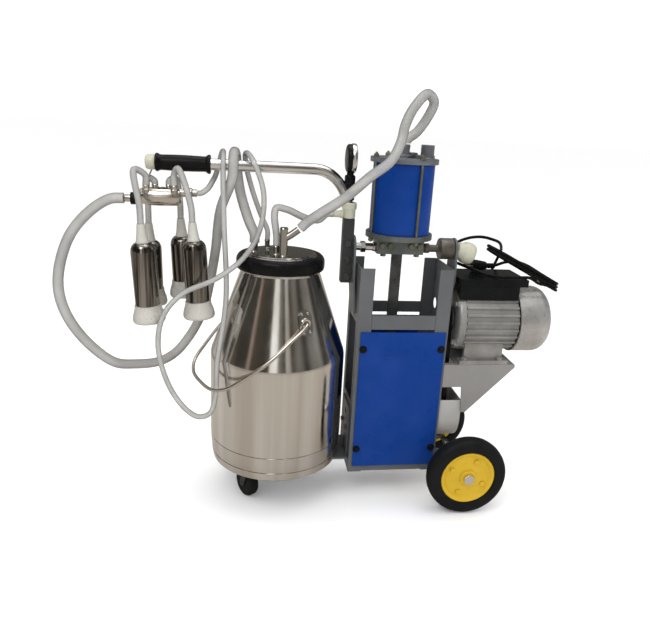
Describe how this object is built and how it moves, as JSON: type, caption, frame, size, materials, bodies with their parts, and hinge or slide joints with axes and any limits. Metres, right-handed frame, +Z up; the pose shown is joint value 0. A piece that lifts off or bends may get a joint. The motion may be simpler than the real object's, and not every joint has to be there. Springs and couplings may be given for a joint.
{
  "type": "milking machine",
  "caption": "Portable bucket milking machine: crank-driven rocking piston pump, motor, lidded steel bucket, claw with teat cups and hoses on a wheeled cart.",
  "frame": {"origin": "on the floor under the middle of the machine's rigid parts", "axes": "+X from the hand grip towards the motor, +Y away from the side with the blue front cover, +Z up"},
  "size_m": [1.2042, 0.35, 1.0004],
  "materials": {
    "painted_frame": "semi-gloss grey",
    "blue_paint": "glossy blue",
    "bright_steel": "polished",
    "cast_alloy": "cast, satin",
    "dark_steel": "dark satin",
    "black_rubber": "matt",
    "tyre_rubber": "matt",
    "yellow_paint": "semi-gloss",
    "black_plastic": "matt",
    "white_plastic": "satin",
    "clear_hose": "milky clear",
    "brass": "dull"
  },
  "bodies": {
    "cart": {"frame_left_side": "painted_frame", "frame_right_side": "painted_frame", "front_beam": "painted_frame", "rear_beam": "painted_frame", "base_tray": "painted_frame", "trunnion_bracket_left": "painted_frame", "trunnion_bracket_right": "painted_frame", "motor_shelf": "painted_frame", "bucket_platform": "painted_frame", "front_cover": "blue_paint", "rear_cover": "blue_paint", "rear_axle": "bright_steel", "handle_tube": "bright_steel", "bucket": "bright_steel", "lid": "bright_steel", "teat_cup_near_left": "bright_steel", "teat_cup_near_right": "bright_steel", "teat_cup_far_right": "bright_steel", "teat_cup_far_left": "bright_steel", "motor_housing": "cast_alloy", "motor_end_bell": "cast_alloy", "fan_cover": "cast_alloy", "pulley_guard": "cast_alloy", "claw": "cast_alloy", "post": "dark_steel", "grip": "black_rubber", "lid_seal": "black_rubber", "v_belt": "black_rubber", "mains_cord": "black_rubber", "vacuum_gauge": "black_plastic", "terminal_box": "black_plastic", "regulator": "white_plastic", "milk_hose": "clear_hose", "pulse_hose": "clear_hose", "lid_vacuum_hose": "clear_hose", "pump_vacuum_hose": "clear_hose"},
    "pump": {"pump_barrel": "blue_paint", "pump_top_head": "cast_alloy", "pump_bottom_head": "cast_alloy", "tie_rod_1": "brass", "tie_rod_2": "brass", "tie_rod_3": "brass", "tie_rod_4": "brass", "trunnion_pipe_left": "bright_steel", "trunnion_pipe_right": "cast_alloy", "muffler": "white_plastic"},
    "piston": {"piston_and_rod": "dark_steel"},
    "crank": {"crankshaft": "dark_steel", "crank_pulley": "cast_alloy"},
    "rotor": {"motor_rotor": "dark_steel", "motor_pulley": "cast_alloy"},
    "wheel_front": {"tyre_front": "tyre_rubber", "rim_front": "yellow_paint"},
    "wheel_rear": {"tyre_rear": "tyre_rubber", "rim_rear": "yellow_paint"},
    "caster_swivel_front": {"caster_fork_front": "dark_steel"},
    "caster_roll_front": {"caster_wheel_front": "black_rubber"},
    "caster_swivel_rear": {"caster_fork_rear": "dark_steel"},
    "caster_roll_rear": {"caster_wheel_rear": "black_rubber"},
    "bail": {"bail": "bright_steel"}
  },
  "joints": [
    {"name": "front_wheel_spin", "type": "hinge", "parent": "cart", "child": "wheel_front", "pos_m": [0.2985, -0.148, 0.1], "axis": [0, 1, 0], "continuous": true},
    {"name": "rear_wheel_spin", "type": "hinge", "parent": "cart", "child": "wheel_rear", "pos_m": [0.2985, 0.148, 0.1], "axis": [0, 1, 0], "continuous": true},
    {"name": "front_caster_swivel", "type": "hinge", "parent": "cart", "child": "caster_swivel_front", "pos_m": [-0.2275, -0.06, 0.098], "axis": [0, 0, 1], "continuous": true},
    {"name": "front_caster_roll", "type": "hinge", "parent": "caster_swivel_front", "child": "caster_roll_front", "pos_m": [-0.23704, -0.04474, 0.036], "axis": [0.848, 0.5299, 0], "continuous": true},
    {"name": "rear_caster_swivel", "type": "hinge", "parent": "cart", "child": "caster_swivel_rear", "pos_m": [-0.2275, 0.06, 0.098], "axis": [0, 0, 1], "continuous": true},
    {"name": "rear_caster_roll", "type": "hinge", "parent": "caster_swivel_rear", "child": "caster_roll_rear", "pos_m": [-0.23704, 0.07526, 0.036], "axis": [0.848, 0.5299, 0], "continuous": true},
    {"name": "bail_swing", "type": "hinge", "parent": "cart", "child": "bail", "pos_m": [-0.166, 0, 0.482], "axis": [-0.4147, 0.91, 0], "range_deg": [0, 40]},
    {"name": "pump_rock", "type": "hinge", "parent": "cart", "child": "pump", "pos_m": [0.1145, 0, 0.638], "axis": [1, 0, 0], "range_deg": [-5, 5]},
    {"name": "piston_stroke", "type": "slide", "parent": "pump", "child": "piston", "axis": [0, 0, 1], "range_m": [0, 0.076]},
    {"name": "motor_spin", "type": "hinge", "parent": "cart", "child": "rotor", "pos_m": [0.1145, 0, 0.462], "axis": [1, 0, 0], "continuous": true},
    {"name": "crank_spin", "type": "hinge", "parent": "cart", "child": "crank", "pos_m": [0.1145, 0, 0.207], "axis": [1, 0, 0], "continuous": true}
  ],
  "couplings": [
    {"joint": "crank_spin", "follows": "motor_spin", "ratio": 0.5}
  ]
}
